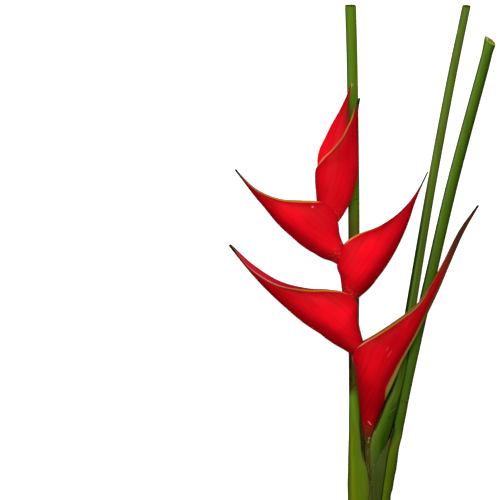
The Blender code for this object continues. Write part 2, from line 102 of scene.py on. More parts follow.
# Bract stations from base to tip: keel x, keel y, lip x, lip y, half thickness,
# half opening between the lips, and how much lower the front lip sits, the last two only if not zero.
BRACT_STATIONS = {
    1: (
        (13.6, -144.2, 1.6, -143.6, 6.0),
        (13.3, -129.5, 1.4, -129.0, 6.0),
        (20.6, -104.0, -2.2, -98.0, 8.3),
        (26.0, -91.0, -4.5, -79.0, 10.6),
        (29.4, -84.0, -7.4, -62.0, 12.6),
        (32.9, -75.8, -10.1, -51.6, 13.8, 6.2),
        (35.4, -69.8, -8.0, -44.8, 14.2, 9.4),
        (38.2, -62.2, -1.0, -38.0, 14.2, 11.2),
        (44.2, -50.0, 11.0, -30.7, 13.2, 9.6),
        (55.4, -29.3, 34.6, -15.0, 9.6, 6.2, 0.2),
        (67.0, -6.1, 54.5, 0.6, 6.0, 3.9, 0.6),
        (78.1, 17.3, 69.3, 21.4, 4.0, 2.9, 0.9),
        (87.4, 39.4, 80.6, 42.2, 3.1, 2.3, 0.9),
        (102.8, 74.0, 98.3, 76.6, 2.2, 1.6, 0.4),
        (116.6, 98.2, 114.7, 99.4, 1.2, 0.9),
    ),
    2: (
        (-4.0, -64.2, 7.8, -62.0, 6.0),
        (-6.4, -53.0, 2.4, -40.5, 6.4),
        (-15.8, -46.3, 0.6, -33.5, 8.4),
        (-25.9, -40.6, -2.4, -21.5, 10.8),
        (-32.0, -36.6, -4.2, -8.5, 12.6),
        (-37.5, -32.7, -4.6, 1.6, 13.6, 6.0),
        (-41.3, -29.5, -10.2, 8.4, 13.9, 9.2),
        (-46.8, -26.0, -18.5, 13.2, 13.7, 10.8),
        (-57.5, -18.9, -32.0, 15.8, 12.4, 8.8, 0.3),
        (-75.0, -4.3, -52.2, 16.9, 9.4, 6.4, 1.8),
        (-97.2, 16.5, -83.0, 24.8, 6.2, 4.6, 5.6),
        (-114.1, 35.0, -108.9, 41.0, 3.4, 2.6, 4.6),
        (-132.7, 58.2, -130.5, 60.6, 1.3, 0.9, 0.2),
    ),
    3: (
        (-6.9, -6.0, -18.1, -4.6, 5.65),
        (-6.6, 2.7, -19.2, 7.2, 6.3),
        (-1.2, 8.8, -20.6, 17.5, 8.2),
        (4.4, 13.4, -22.1, 29.0, 10.6),
        (9.8, 18.9, -25.0, 36.7, 12.4, 4.6),
        (15.8, 26.8, -23.7, 47.5, 13.4, 8.4),
        (22.7, 35.9, -17.8, 61.2, 13.6, 10.8),
        (30.7, 48.5, -4.5, 70.8, 12.2, 8.6),
        (39.4, 65.3, 16.2, 78.8, 8.8, 5.6),
        (47.1, 83.9, 34.8, 90.8, 5.2, 3.6),
        (54.1, 104.8, 50.1, 107.0, 2.8, 2.0),
        (59.8, 118.4, 58.2, 119.6, 1.6, 1.1),
        (66.0, 131.8, 64.7, 132.7, 1.0, 0.7),
    ),
    4: (
        (-22.0, 36.4, -11.8, 39.0, 5.25),
        (-24.6, 40.2, -16.0, 54.5, 6.0),
        (-30.7, 43.6, -19.2, 62.5, 7.4),
        (-38.7, 46.1, -22.0, 70.0, 9.2),
        (-48.5, 51.8, -23.5, 80.4, 11.4, 6.2),
        (-54.3, 55.1, -26.7, 91.8, 12.8, 9.0),
        (-61.0, 59.7, -34.0, 99.6, 13.3, 11.0),
        (-70.4, 67.8, -44.5, 103.8, 12.8, 9.6),
        (-83.3, 79.7, -61.3, 104.9, 10.0, 6.8),
        (-98.4, 97.9, -83.8, 106.9, 5.8, 4.0),
        (-109.4, 111.0, -104.6, 115.8, 3.1, 2.3),
        (-120.2, 125.2, -118.0, 127.4, 1.7, 1.2),
        (-126.8, 133.9, -125.1, 135.3, 1.2, 0.8),
    ),
    5: (
        (-26.3, 74.0, -36.7, 76.8, 5.2),
        (-24.8, 80.7, -41.0, 90.5, 6.6),
        (-18.1, 90.8, -45.2, 102.0, 8.6),
        (-11.5, 103.0, -46.2, 112.5, 10.4),
        (-6.4, 120.0, -47.2, 124.5, 11.8),
        (-3.4, 135.5, -46.3, 136.3, 12.4),
        (-3.1, 145.0, -41.6, 144.4, 12.2, 8.6),
        (-3.2, 157.0, -31.4, 154.6, 11.6, 9.6),
        (-3.6, 169.0, -21.2, 166.8, 9.6, 7.8),
        (-3.8, 179.0, -16.1, 176.0, 7.2, 5.8),
        (-4.0, 187.0, -12.0, 184.2, 4.8, 3.8),
        (-3.2, 197.1, -8.2, 196.3, 2.4, 1.8),
        (-1.6, 206.2, -4.2, 205.6, 1.3, 0.9),
    ),
    6: (
        (-36.2, 98.0, -27.8, 98.0, 4.2),
        (-40.5, 115.0, -23.0, 115.0, 6.2),
        (-43.2, 131.0, -18.0, 132.0, 7.2),
        (-44.9, 142.0, -15.5, 145.0, 7.2),
        (-43.3, 154.0, -13.6, 159.0, 6.9, 2.6),
        (-37.0, 167.7, -12.6, 174.0, 5.8, 3.0),
        (-30.5, 181.0, -12.5, 188.0, 4.8, 2.8),
        (-22.5, 195.0, -12.4, 201.0, 3.4, 2.2),
        (-16.0, 208.5, -11.8, 210.5, 1.9, 1.3),
        (-11.1, 220.4, -9.6, 220.1, 1.0, 0.7),
    ),
}

# Axis of the flower stalk from the cut to the last bract: x, y, radius.
FLOWER_STALK = (
    (8.3, CUT_Y, 7.0),
    (8.3, -197.0, 7.0),
    (8.2, -181.0, 6.3),
    (7.9, -164.0, 4.9),
    (7.6, -147.0, 4.05),
    (7.4, -129.0, 4.0),
    (6.2, -97.0, 4.0),
    (1.9, -63.0, 4.0),
    (-2.5, -45.0, 3.85),
    (-9.3, -23.0, 3.8),
    (-12.5, -5.0, 3.62),
    (-13.4, 15.0, 3.6),
    (-16.9, 37.7, 3.4),
    (-23.8, 57.0, 3.3),
    (-29.7, 69.0, 3.1),
    (-31.6, 75.4, 2.95),
    (-32.7, 87.0, 2.8),
    (-32.0, 99.5, 2.38),
)

# Leaf stalk stations from the cut to the top: y, height of the axis, outer centre x, outer
# half width, outer half height, inner centre x, inner half width, inner half height,
# x of the front margin, x of the back margin, and how far the channel is filled.
LEFT_LEAF = (
    (CUT_Y, 15.6, 5.5, 19.0, 12.0, 11.5, 12.9, 10.2, 4.7, 10.9, 0.0),
    (-196.9, 15.6, 5.5, 19.0, 12.0, 11.5, 12.9, 10.2, 4.7, 10.9, 0.0),
    (-183.8, 15.6, 5.0, 18.8, 12.0, 11.5, 12.9, 10.2, 6.3, 9.9, 0.0),
    (-166.7, 15.4, 3.3, 16.7, 11.7, 10.4, 11.5, 10.1, 3.8, 7.4, 0.0),
    (-150.3, 13.6, -1.5, 11.5, 10.2, 1.5, 6.6, 7.5, 1.2, 5.4, 0.1),
    (-131.9, 11.6, -3.1, 9.2, 8.0, -1.9, 5.6, 5.4, 0.2, 4.6, 0.3),
    (-112.1, 8.6, -5.1, 6.9, 6.2, -5.3, 3.2, 3.4, -1.1, 1.0, 0.8),
    (-92.0, 6.6, -6.2, 5.5, 5.4, -6.4, 2.4, 2.6, -1.2, -1.0, 1.0),
    (-46.5, 5.2, -6.4, 5.5, 5.0, -6.4, 2.4, 2.5, -1.6, -1.6, 1.0),
    (80.4, 5.0, -6.1, 6.2, 5.0, -6.1, 2.5, 2.5, -1.0, -1.0, 1.0),
    (237.8, 4.9, -7.8, 6.0, 5.0, -8.0, 2.6, 2.5, -2.9, -2.9, 1.0),
    (303.3, 4.8, -9.5, 6.1, 5.1, -9.7, 2.6, 2.5, -4.5, -4.5, 1.0),
)
INNER_LEAF = (
    (CUT_Y, 15.6, 11.5, 12.6, 9.8, 8.3, 7.7, 7.6, -0.3, -0.4, 0.0),
    (-201.9, 15.6, 11.5, 12.6, 9.8, 8.3, 7.7, 7.6, 1.7, 0.4, 0.0),
    (-183.8, 15.6, 11.6, 12.7, 9.8, 8.3, 7.5, 7.5, 5.2, 1.4, 0.0),
    (-167.7, 15.6, 11.8, 12.8, 9.8, 8.3, 7.1, 7.2, 9.2, 6.4, 0.0),
    (-143.5, 15.8, 13.1, 13.1, 10.2, 8.9, 8.1, 8.0, 8.0, 9.0, 0.0),
    (-128.4, 15.7, 17.0, 13.1, 10.6, 13.5, 8.7, 8.6, 11.7, 9.4, 0.0),
    (-111.5, 13.6, 23.4, 11.6, 9.2, 21.9, 6.8, 6.5, 17.9, 15.6, 0.3),
    (-96.7, 9.4, 31.2, 8.0, 7.0, 31.2, 4.0, 3.6, 25.4, 24.0, 0.8),
    (-76.9, 6.2, 38.9, 6.4, 5.6, 38.6, 3.0, 2.8, 33.8, 33.6, 1.0),
    (-5.9, 5.1, 50.7, 5.6, 5.1, 50.5, 2.5, 2.5, 45.8, 45.8, 1.0),
    (115.9, 4.7, 71.2, 4.9, 4.7, 71.1, 2.1, 2.3, 66.9, 66.9, 1.0),
    (237.8, 4.6, 94.2, 4.6, 4.7, 94.2, 2.2, 2.3, 89.9, 89.9, 1.0),
    (302.8, 4.5, 107.8, 4.3, 4.7, 107.8, 2.1, 2.3, 103.9, 103.9, 1.0),
)
RIGHT_LEAF = (
    (CUT_Y, 15.6, 7.1, 22.6, 16.0, 5.5, 19.4, 12.3, 12.1, -0.7, 0.0),
    (-196.9, 15.6, 7.1, 22.6, 16.0, 5.5, 19.4, 12.3, 12.1, -0.7, 0.0),
    (-183.8, 15.6, 8.5, 23.7, 15.8, 6.1, 20.0, 12.3, 11.4, 1.9, 0.0),
    (-168.7, 15.7, 11.6, 23.3, 15.3, 8.9, 19.8, 12.3, 8.4, 7.4, 0.0),
    (-160.6, 15.8, 15.6, 20.7, 14.2, 12.9, 16.7, 12.0, 10.7, 12.4, 0.0),
    (-149.2, 15.8, 21.5, 16.1, 12.6, 19.5, 11.6, 10.9, 18.0, 18.0, 0.0),
    (-141.5, 15.7, 27.2, 11.7, 10.3, 26.5, 6.9, 8.0, 23.5, 23.6, 0.3),
    (-133.0, 15.8, 33.8, 7.4, 8.2, 34.5, 3.7, 4.6, 28.2, 28.0, 0.6),
    (-121.3, 17.0, 37.2, 5.9, 5.9, 37.3, 2.8, 3.0, 32.4, 31.8, 0.9),
    (-109.0, 18.4, 39.9, 5.5, 5.3, 39.9, 2.7, 2.8, 35.6, 35.2, 1.0),
    (-96.3, 17.8, 42.6, 5.2, 5.0, 42.6, 2.6, 2.5, 38.3, 38.2, 1.0),
    (-76.3, 14.6, 47.1, 5.3, 4.9, 47.2, 2.5, 2.4, 42.8, 42.8, 1.0),
    (-31.2, 7.6, 57.2, 6.1, 4.9, 57.4, 2.6, 2.4, 51.9, 51.9, 1.0),
    (31.7, 5.1, 72.0, 6.1, 5.0, 72.1, 2.7, 2.5, 66.4, 66.4, 1.0),
    (115.9, 5.0, 91.4, 6.4, 5.0, 91.3, 2.8, 2.5, 86.0, 86.0, 1.0),
    (237.8, 4.9, 124.0, 6.2, 5.1, 123.8, 2.9, 2.5, 118.8, 118.8, 1.0),
    (267.8, 4.8, 131.8, 5.7, 5.1, 131.8, 2.8, 2.5, 127.1, 127.1, 1.0),
)

# The crease between the right leaf's stalk and its sheath, painted dark as shade: y and x.
CREASE = (
    (-310.0, 14.0), (-240.0, 16.2), (-189.0, 19.8), (-172.0, 22.2), (-149.7, 25.8), (-134.0, 29.8),
    (-126.0, 32.6),
)

# The coloured border below each lip: station, width in millimetres seen from above, and colour.
LIP_BORDER = {
    1: ((2.6, -0.6, "#A80818"), (3.2, 0.2, "#D83058"), (5, 0.4, "#E44068"), (5.8, -0.4, "#D8142A"),
        (6.2, -0.6, "#E84A40"), (6.6, 0.7, "#F08A60"), (7, 1.1, "#F4B488"), (7.6, 1.5, "#D8964A"),
        (8.3, 2.1, "#B87E30"), (9, 2.1, "#A87628"), (10, 1.5, "#A07A30"), (10.6, 0.6, "#A0702A"),
        (11, -0.4, "#7A2018"), (12, -0.4, "#6A1A14"), (13, 0.5, "#5A3A2C"), (14, 0.5, "#2A2418")),
    2: ((5, -0.6, "#D01020"), (6.2, -0.6, "#D81A28"), (6.6, 0.4, "#F07070"), (7, 0.9, "#F08060"),
        (7.4, 1.4, "#E08A4A"), (8, 2.2, "#C08838"), (9, 2.6, "#B0742C"), (9.6, 1.6, "#C08040"),
        (10, 1.3, "#F49A7C"), (10.6, 1.1, "#F08A76"), (11, 0.7, "#DC866A"), (11.4, 0.6, "#A86A3C"),
        (12, 1.0, "#6A5A24")),
    3: ((4, -0.6, "#D81020"), (5.7, -0.6, "#E02028"), (6, 0.7, "#E87A48"), (6.4, 1.3, "#F0A050"),
        (7, 1.4, "#E89A48"), (7.6, 1.3, "#C87A28"), (8.1, 0.9, "#C86A28"), (8.5, -0.3, "#C02018"),
        (9, -0.6, "#A80A14"), (12, -0.6, "#3A1810")),
    4: ((4, -0.6, "#D81424"), (6.3, -0.6, "#E02030"), (6.7, 0.3, "#F05048"), (6.9, 1.3, "#E87848"),
        (7.15, 2.9, "#D48C3C"), (8, 3.5, "#C07E2C"), (9, 2.7, "#C08C3C"), (9.5, 2.2, "#B89048"),
        (10, 1.9, "#A88044"), (11, 1.4, "#8C6A38"), (12, 0.9, "#2A2810")),
    5: ((4.6, -0.4, "#E02030"), (5, 0.8, "#F83A38"), (5.3, 1.2, "#FA6248"), (5.8, 2.0, "#F48858"),
        (6.4, 2.4, "#E88A58"), (7, 2.5, "#D07840"), (8, 2.3, "#B86A38"), (9, 1.9, "#C08040"),
        (10, 1.6, "#B8983E"), (11, 1.3, "#6A6A28"), (12, 0.8, "#20240C")),
    6: ((4, -0.4, "#902018"), (5, -0.2, "#802818"), (6, 0.2, "#804A18"), (7, 0.35, "#7A5A18"),
        (8, 0.5, "#8A6420"), (8.6, 0.9, "#B87830"), (9, 1.0, "#E4C070")),
}
# Painted highlight and shade on the red of each cheek along the bract: station and share of the full painted
# highlight.
CHEEK_PAINTED_LIGHT = {
    1: ((0, 0.0), (2, 0.04), (3, 0.2), (4, 0.52), (6, 0.62), (7, 0.63), (8, 0.52), (9, 0.38), (10, 0.2),
        (11, 0.04), (14, 0.0)),
    2: ((0, 0.4), (1, 0.3), (2, 0.42), (3, 0.55), (4, 0.75), (5, 1.0), (7, 0.97), (8, 0.9), (9, 0.55),
        (10, 0.1), (12, 0.0)),
    3: ((0, 0.5), (1, 0.27), (2, 0.3), (3, 0.5), (4, 0.68), (5, 0.87), (6, 0.98), (7, 1.0), (8, 0.7),
        (9, 0.24), (10, 0.02), (12, 0.0)),
    4: ((0, 0.6), (1, 0.55), (2, 0.68), (3, 0.88), (4, 0.85), (5, 0.76), (6, 0.82), (8, 0.88), (9, 0.36),
        (10, 0.04), (12, 0.0)),
    5: ((0, 0.62), (2, 0.56), (5, 0.57), (6, 0.5), (7, 0.44), (8, 0.3), (9, 0.2), (10, 0.12), (12, 0.0)),
    6: ((0, 0.55), (2, 0.6), (3, 0.85), (4, 0.9), (6, 0.8), (7, 0.5), (8, 0.2), (9, 0.3)),
}
# The same from the keel (0) to the lip (1): painted shade deep at the keel and under the lip, painted
# highlight brightest halfway, except on the upper two, whose painted shade lies towards the lip.
CHEEK_PAINTED_LIGHT_ACROSS = (
    (0.0, 0.02), (0.2, 0.06), (0.31, 0.18), (0.44, 0.82), (0.56, 1.0), (0.69, 0.85), (0.82, 0.38),
    (1.0, 0.15),
)
UPPER_CHEEK_PAINTED_LIGHT_ACROSS = {
    5: ((0.0, 0.6), (0.18, 0.85), (0.31, 1.0), (0.5, 1.0), (0.69, 0.75), (0.82, 0.45), (1.0, 0.3)),
    6: ((0.0, 1.0), (0.31, 1.0), (0.44, 0.7), (0.56, 0.4), (0.69, 0.2), (0.82, 0.1), (1.0, 0.0)),
}
# Lengths from the point over which a bract is dried black and brown, and the share of each that is
# fully so before it fades.
DRIED_TIP = {
    1: (68.0, 98.0), 2: (13.0, 19.0), 3: (14.0, 26.0), 4: (9.0, 26.0), 5: (11.0, 19.0), 6: (0.5, 9.0),
}
FULLY_DRIED = 0.4
# Lengths from the base at which the lowest bract's brown, and every bract's hairs, begin to fade and end.
BROWN_BASE = (6.0, 32.0)
HAIRY_BASE = (6.0, 30.0)
# The yellowish keel of the lowest bract: y of the keel and width seen from above, then between which y
# values it turns old and brown, and its colours from its middle (0) to its edge (0.5).
PALE_KEEL = (
    (-150.0, 0.0), (-98.0, 0.0), (-92.0, 2.6), (-84.0, 5.6), (-70.0, 4.4), (-55.0, 3.0), (-38.0, 2.4),
    (-15.0, 2.9), (12.0, 2.5), (40.0, 1.5), (99.0, 1.0),
)
KEEL_BROWNS = (-32.0, -8.0)
KEEL_COLOURS = ((0.0, "#8E8C3A"), (0.2, "#B0A048"), (0.38, "#AC7E34"), (0.48, "#C06A3A"))
# Keel widths or millimetres that are far enough off for a vertex to take none of the paint.
OFF_THE_KEEL = 2.0
OFF_THE_BORDER = -9.0
OFF_THE_CREASE = 99.0

# Small marks: x, y, turn in degrees, length, width, colour and strength.
BRACT_SCARS = (
    (-50.0, 97.6, 20.0, 1.1, 0.8, "#FF9090", 0.8),
    (7.9, -118.4, -50.0, 2.8, 0.55, "#F08088", 0.9),
    (7.6, -133.8, 60.0, 1.4, 0.7, "#C09080", 0.8),
    (6.8, -137.4, 70.0, 1.8, 0.7, "#A87860", 0.8),
    (26.3, -48.1, 58.0, 4.2, 0.55, "#F4404A", 0.6),
    (24.2, -43.0, 58.0, 3.0, 0.5, "#F4404A", 0.5),
    (30.8, -29.3, 30.0, 1.3, 0.9, "#7A0A08", 0.7),
)
# Looks of each leaf stalk. The colours run across it from left to right: on its fresh upper part, on its
# lower part and on its sheath; their dark edges are painted shade on the flanks and their lighter band a
# painted highlight.
# The lower part is darker, partly stained and partly painted shade where the bracts lie over it. Then the y
# values between which upper turns to lower and below which it turns back, how strongly the sheath's margin is
# painted with shade, how far its lower end has faded, and its small marks, one of them a painted shade line.
# Before them come the length of the turn back, and the y values between which the sheath fades and its
# margin's painted shade grows.
TURNS_BACK_OVER = 8.0
SHEATH_FADES = (-155.0, -182.0)
MARGIN_SHADE_GROWS = (-158.0, -146.0)
LEFT_LOOK = {
    "upper": ((0.0, "#3E5A0C"), (0.1, "#52781A"), (0.28, "#5A8016"), (0.48, "#527604"), (0.56, "#567000"),
        (0.64, "#507000"), (0.82, "#526E04"), (0.9, "#1C2C02")),
    "lower": ((0.0, "#1E1C02"), (0.15, "#4A4608"), (0.35, "#4C4C04"), (0.6, "#525606"), (0.82, "#4E5604"),
        (0.9, "#181E02")),
    "sheath": ((0.0, "#34460A"), (0.05, "#586A04"), (0.13, "#6E840A"), (0.22, "#5E7602"), (0.34, "#526C02"),
        (0.5, "#586C10")),
    "turns_at": (118.0, 78.0, -86.0),
    "margin_painted_shade": 0.9,
    "faded": 0.0,
    "scars_and_shade_lines": (
        (-10.7, -61.5, 90.0, 5.0, 1.1, "#0C0804", 0.9),
        (-10.3, -76.0, 90.0, 4.0, 1.1, "#0C0804", 0.9),
        (-7.2, -82.0, 60.0, 3.0, 0.8, "#1C1204", 0.8),
        (-10.5, -70.0, 90.0, 22.0, 2.4, "#1A1004", 0.6),
        (-6.0, -74.0, 88.0, 15.0, 4.5, "#38280A", 0.5),
        (-4.2, 106.4, 0.0, 0.8, 1.1, "#1C1002", 0.85),
    ),
}
INNER_LOOK = {
    "upper": ((0.0, "#2E400A"), (0.1, "#5A7226"), (0.28, "#607A1E"), (0.5, "#506A10"), (0.8, "#586A12"),
        (1.0, "#242E02")),
    "lower": ((0.0, "#0E1A00"), (0.2, "#1E3202"), (0.33, "#567020"), (0.55, "#425806"), (0.8, "#526612"),
        (1.0, "#222E02")),
    "sheath": ((0.3, "#5A5A20"), (0.36, "#566C12"), (0.5, "#466404"), (0.75, "#2C4A04"), (0.92, "#384E10"),
        (1.0, "#0C1600")),
    "turns_at": (150.0, 60.0, -900.0),
    "margin_painted_shade": 0.0,
    "faded": 0.85,
    "scars_and_shade_lines": (
        (12.2, -128.3, 70.0, 3.0, 0.7, "#8A8A60", 0.7),
        (10.9, -133.0, 80.0, 3.5, 0.7, "#77764A", 0.6),
        (27.3, -112.6, 80.0, 1.6, 0.6, "#0C1E02", 0.8),
        (22.5, -97.5, 60.0, 2.6, 0.5, "#122802", 0.8),
        (32.4, -105.4, 36.0, 5.0, 0.35, "#7A9070", 0.4),
        (98.4, 277.0, 80.0, 3.0, 1.0, "#90A068", 0.5),
        # Painted shade: a dark line along the inner sheath's margin.
        (19.4, -111.2, 66.0, 19.0, 1.2, "#160E02", 0.85),
        (11.8, -151.5, 74.0, 14.0, 4.0, "#4A5420", 0.5),
        (109.5, 301.5, 20.0, 1.4, 1.2, "#0A0C02", 0.9),
    ),
}
RIGHT_LOOK = {
    "upper": ((0.0, "#142602"), (0.08, "#2E4A06"), (0.18, "#62822A"), (0.34, "#4A6A0A"), (0.55, "#426402"),
        (1.0, "#1E3002")),
    "lower": ((0.0, "#0E1A00"), (0.1, "#1A2E02"), (0.2, "#42641A"), (0.34, "#3C5C08"), (0.6, "#3E5C02"),
        (0.85, "#3C5206"), (1.0, "#1E2C02")),
    "sheath": ((0.0, "#2A3608"), (0.4, "#3E4A14"), (0.72, "#5A7006"), (0.86, "#566C04"), (0.95, "#46580A"),
        (1.0, "#1C2600")),
    "turns_at": (130.0, 0.0, -900.0),
    "margin_painted_shade": 0.0,
    "faded": 0.0,
    "scars_and_shade_lines": (
        (26.6, -136.6, 56.0, 2.8, 0.45, "#A89878", 0.6),
        (43.6, -98.0, 118.0, 3.2, 0.45, "#141C02", 0.8),
        (40.6, -97.0, 100.0, 1.6, 0.45, "#141C02", 0.8),
        (38.4, -152.5, 90.0, 1.2, 0.7, "#1C2404", 0.8),
        (28.9, -140.0, 74.0, 4.5, 0.9, "#4A2408", 0.7),
    ),
}
CUT_COLOURS = {
    "fresh_cut_flesh": ("#6A6808", "#ACA82C", "#F6F882"),
    "old_cut_flesh": ("#2C3C04", "#44580C", "#3A4E08"),
}
# Every leaf stalk: stations, look, finish of its cuts, the side on which the midrib lies, how the upper
# cut slants along y for each millimetre of x and of height, and whether the dark crease runs on it.
LEAF_STALKS = {
    "left": (LEFT_LEAF, LEFT_LOOK, "old_cut_flesh", -1.0, (0.0, -0.4), False),
    "inner": (INNER_LEAF, INNER_LOOK, "old_cut_flesh", 1.0, (0.0, -0.45), False),
    "right": (RIGHT_LEAF, RIGHT_LOOK, "fresh_cut_flesh", 1.0, (-0.6, -0.75), True),
}


def linear(code):
    """A linear colour with alpha from an sRGB hex code."""
    channels = []
    for start in (1, 3, 5):
        value = int(code[start:start + 2], 16) / 255.0
        channels.append(value / 12.92 if value <= 0.04045 else ((value + 0.055) / 1.055) ** 2.4)
    return (*channels, 1.0)


def slopes(stops, values, steady):
    """Slope of a smooth curve at each of its stops. A steady curve never passes its stops."""
    last = len(stops) - 1
    secants = []
    for i in range(last):
        secants.append((values[i + 1] - values[i]) / (stops[i + 1] - stops[i]))
    found = [secants[0]]
    for i in range(1, last):
        before = stops[i] - stops[i - 1]
        after = stops[i + 1] - stops[i]
        slope = (secants[i - 1] * after + secants[i] * before) / (before + after)
        if steady:
            slope = 0.0
            if secants[i - 1] * secants[i] > 0.0:
                slope = 2.0 * secants[i - 1] * secants[i] / (secants[i - 1] + secants[i])
        found.append(slope)
    found.append(secants[-1])
    return found


def curve(stops, values, steady=False):
    """A function that reads a smooth curve through the stops."""
    tilt = slopes(stops, values, steady)

    def read(at):
        i = min(max(bisect.bisect_right(stops, at) - 1, 0), len(stops) - 2)
        span = stops[i + 1] - stops[i]
        s = min(max((at - stops[i]) / span, 0.0), 1.0)
        rise = s * s * (3.0 - 2.0 * s)
        leave = s * (1.0 - s) * (1.0 - s) * span * tilt[i]
        arrive = s * s * (s - 1.0) * span * tilt[i + 1]
        return values[i] + (values[i + 1] - values[i]) * rise + leave + arrive

    return read


def through(pairs, steady=False):
    """The same for pairs of place and value."""
    return curve([at for at, _ in pairs], [value for _, value in pairs], steady)


def eased(low, high, value):
    share = min(max((value - low) / (high - low), 0.0), 1.0)
    return share * share * (3.0 - 2.0 * share)


def lift(y):
    """Height of the flower's axis at y: low in the stem, higher where the stalks pass under the bracts."""
    return STEM_AXIS_HEIGHT + (HEAD_AXIS_HEIGHT - STEM_AXIS_HEIGHT) * eased(LIFT_START_Y, LIFT_END_Y, y)


def in_metres(point):
    return Vector(((point[0] - ORIGIN_X) * MM, point[1] * MM, point[2] * MM))


def running_length(points):
    """Distance along a row of points to each of them."""
    total = [0.0]
    for before, after in zip(points, points[1:]):
        total.append(total[-1] + math.dist(before, after))
    return total


def shaped_grid(rows, columns, place, names=()):
    """A bmesh grid moved into shape: place gives each vertex its point, its wall and its named values."""
    bm = bmesh.new()
    layers = [bm.verts.layers.float.new(name) for name in names]
    weight = bm.verts.layers.deform.verify()
    bmesh.ops.create_grid(bm, x_segments=rows, y_segments=columns, size=0.5)
    for vert in bm.verts:
        row = round((vert.co.x + 0.5) * rows)
        column = round((vert.co.y + 0.5) * columns)
        point, wall, values = place(row, column)
        vert.co = in_metres(point)
        vert[weight][0] = wall
        for layer, value in zip(layers, values):
            vert[layer] = value
    bmesh.ops.remove_doubles(bm, verts=bm.verts[:], dist=SEAM_REACH * MM)
    for face in bm.faces:
        face.smooth = True
    return bm


def finish_piece(bm, name, node, finishes):
    """Makes the bmesh an object that stands for a CAD node."""
    mesh = bpy.data.meshes.new(name)
    bm.to_mesh(mesh)
    bm.free()
    for finish in finishes:
        mesh.materials.append(finish)
    piece = bpy.data.objects.new(name, mesh)
    bpy.context.scene.collection.objects.link(piece)
    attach(piece, "root")
    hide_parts(node)
    return piece


def cheek(angle, sharpness):
    """Half thickness of a bract at an angle round from its keel, before scaling."""
    return math.sin(angle) * math.sin(angle / 2.0) ** sharpness


def lip_angle(opening, sharpness, fullest):
    """Angle at which the cheek has come in to the given share of its full half thickness."""
    low = fullest
    high = math.pi
    for _ in range(HALVINGS):
        middle = 0.5 * (low + high)
        if cheek(middle, sharpness) / cheek(fullest, sharpness) > opening:
            low = middle
        else:
            high = middle
    return 0.5 * (low + high)


def bract_section(station, share, base_point):
    """Points of one section from the back lip round the keel to the front lip."""
    keel_x, keel_y, lip_x, lip_y, half, opening, drop = station
    sharpness = KEEL_SHARPNESS * min(1.0, SHARPENING * share)
    fullest = math.acos(-sharpness / (2.0 + sharpness))
    end = math.pi
    if opening > 0.0:
        end = lip_angle(min(opening / half, WIDEST_MOUTH), sharpness, fullest)
    width = math.dist((keel_x, keel_y), (lip_x, lip_y))
    points = []
    half_count = BRACT_COLUMNS // 2
    for j in range(-half_count, half_count + 1):
        angle = end * abs(j) / half_count
        across = (1.0 - math.cos(angle)) / (1.0 - math.cos(end))
        if j > 0:
            across *= 1.0 - min(drop / width, 1.0)
        x = keel_x + (lip_x - keel_x) * across
        y = keel_y + (lip_y - keel_y) * across
        z = math.copysign(half * cheek(angle, sharpness) / cheek(fullest, sharpness), j)
        y += base_point * (2.0 * across - 1.0) ** 2
        points.append((x, y, z + lift(y)))
    if opening == 0.0:
        points[-1] = points[0]
    return points


def bract_rows(number):
    """Every section of a bract with its reach from the base and its wall, and the reach of each station."""
    stations = [station + (0.0,) * (7 - len(station)) for station in BRACT_STATIONS[number]]
    last = len(stations) - 1
    reach = [0.0]
    for before, after in zip(stations, stations[1:]):
        step = 0.5 * (math.dist(before[0:2], after[0:2]) + math.dist(before[2:4], after[2:4]))
        reach.append(reach[-1] + step)
    read = [curve(reach, [station[k] for station in stations], k > 3) for k in range(7)]
    order = curve(reach, [i / last for i in range(last + 1)], True)
    closed = sum(station[5] == 0.0 for station in stations) - 1
    shoulder = reach[closed]
    end = reach[-1]
    body_rows = BRACT_ROWS - BRACT_TIP_ROWS
    closed_rows = round(body_rows * shoulder / end)
    rows = []
    for i in range(body_rows + 1):
        if i <= closed_rows:
            at = shoulder * i / closed_rows
        else:
            at = shoulder + (end - shoulder) * (i - closed_rows) / (body_rows - closed_rows)
        station = [column(at) for column in read]
        if i <= closed_rows:
            station[5] = 0.0
        share = order(at)
        base_point = LOWEST_BASE_POINT * (1.0 - at / reach[1]) if number == 1 and at < reach[1] else 0.0
        points = bract_section(station, share, base_point)
        taper = min(1.0, (1.0 - share) / WALL_TAPER)
        wall = THINNEST_WALL + (THICKEST_WALL - THINNEST_WALL) * taper
        rows.append((points, at, min(wall, 0.5 * station[4]), station[5] == 0.0))
    # The point is closed by a round end.
    final, _, wall, _ = rows[-1]
    heart = sum((Vector(point) for point in final), Vector()) / len(final)
    ahead = (Vector(final[0]) - Vector(rows[-2][0][0])).normalized()
    for k in range(1, BRACT_TIP_ROWS + 1):
        share = k / BRACT_TIP_ROWS
        size = math.sqrt(1.0 - share * share)
        points = []
        for point in final:
            points.append(tuple(heart + ahead * (ROUND_END * share) + (Vector(point) - heart) * size))
        rows.append((points, end + ROUND_END * share, wall * max(size, THINNEST_END), False))
    return rows, reach


